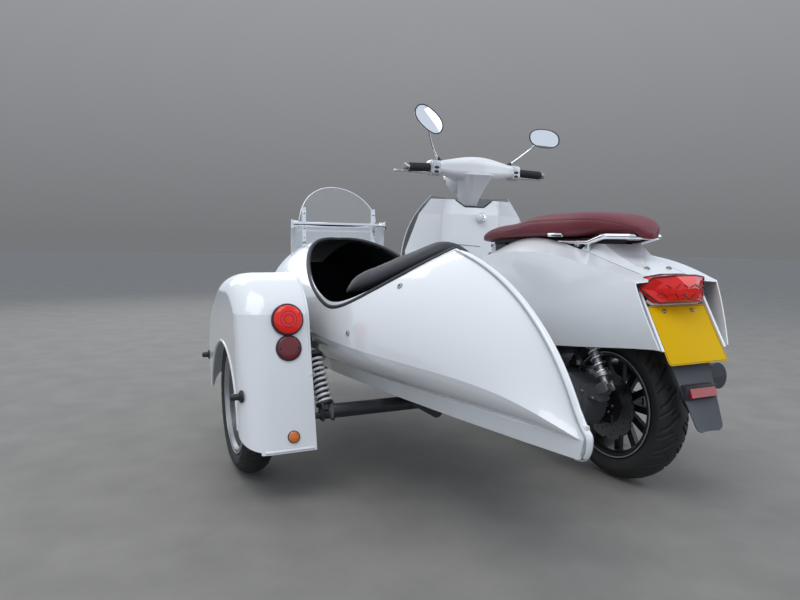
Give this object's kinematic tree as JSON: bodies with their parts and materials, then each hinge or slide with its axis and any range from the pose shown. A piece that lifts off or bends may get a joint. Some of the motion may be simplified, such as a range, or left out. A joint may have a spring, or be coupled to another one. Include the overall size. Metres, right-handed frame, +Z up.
{
  "type": "sidecar motorcycle",
  "caption": "Step-through scooter with a boat-tailed single-seat sidecar on its left: wheels roll, the handlebar steers and the seat lifts on its hinge.",
  "frame": {"origin": "on the ground below the middle of the whole vehicle's box", "axes": "+X to the rider's left, where the sidecar is, +Y to the rear, +Z up"},
  "size_m": [1.5782, 2.148, 1.2863],
  "materials": {
    "gloss_white": "gloss enamel",
    "white_panel": "gloss",
    "black_plastic": "textured",
    "black_paint": "satin",
    "rubber": "matt",
    "tyre": "matt",
    "rim_black": "satin",
    "rim_silver": "satin",
    "chrome": "bright",
    "engine_grey": "cast",
    "red_lens": "clear",
    "amber_lens": "clear",
    "plate_yellow": "reflective",
    "maroon_leather": "semi-matt",
    "black_leather": "semi-matt",
    "clear_screen": "clear",
    "lamp_glass": "clear",
    "mirror_glass": "silvered"
  },
  "bodies": {
    "chassis": {"cockpit_edging": "rubber", "cockpit_roll": "black_leather", "engine_unit": "engine_grey", "floorboard": "black_plastic", "front_indicators": "amber_lens", "grab_rail": "chrome", "horn_casing": "white_panel", "inner_panel": "white_panel", "leg_shield": "white_panel", "marker_lamps": "black_plastic", "mud_flap": "black_plastic", "number_plate": "plate_yellow", "rear_dampers": "chrome", "rear_reflector": "red_lens", "scooter_frame": "black_paint", "screen_apron": "clear_screen", "screen_bar": "chrome", "seat_tower": "white_panel", "side_panel_left": "white_panel", "side_panel_right": "white_panel", "sidecar_damper": "chrome", "sidecar_floor_pan": "gloss_white", "sidecar_frame": "black_paint", "sidecar_hull": "gloss_white", "sidecar_mudguard": "gloss_white", "sidecar_rear_lamps": "red_lens", "sidecar_seat": "black_leather", "sidecar_swing_arm": "black_paint", "silencer": "black_paint", "tail_deck": "white_panel", "tail_lamp": "red_lens", "underseat_bucket": "black_plastic", "windscreen": "clear_screen"},
    "steering": {"fork": "rim_silver", "front_dampers": "chrome", "front_mudguard": "gloss_white", "headset": "white_panel", "handlebar": "black_paint", "headlamp": "lamp_glass", "grips": "rubber", "hand_controls": "rim_silver", "mirrors": "chrome", "mirror_glasses": "mirror_glass"},
    "front_wheel": {"front_tyre": "tyre", "front_rim": "rim_black"},
    "rear_wheel": {"rear_tyre": "tyre", "rear_rim": "rim_black"},
    "sidecar_wheel": {"sidecar_tyre": "tyre", "sidecar_rim": "rim_silver"},
    "seat": {"seat_cushion": "maroon_leather", "seat_base": "black_plastic"}
  },
  "joints": [
    {"name": "steer", "type": "hinge", "parent": "chassis", "child": "steering", "pos_m": [-0.395, -0.53032, 0.76], "axis": [0, 0.4384, 0.8988], "range_deg": [-38, 38]},
    {"name": "front_wheel_spin", "type": "hinge", "parent": "steering", "child": "front_wheel", "pos_m": [-0.395, -0.816, 0.2295], "axis": [1, 0, 0], "continuous": true},
    {"name": "rear_wheel_spin", "type": "hinge", "parent": "chassis", "child": "rear_wheel", "pos_m": [-0.395, 0.524, 0.236], "axis": [1, 0, 0], "continuous": true},
    {"name": "sidecar_wheel_spin", "type": "hinge", "parent": "chassis", "child": "sidecar_wheel", "pos_m": [0.69, 0.014, 0.2295], "axis": [1, 0, 0], "continuous": true},
    {"name": "seat_lid", "type": "hinge", "parent": "chassis", "child": "seat", "pos_m": [-0.395, -0.182, 0.727], "axis": [1, 0, 0], "range_deg": [0, 65]}
  ]
}
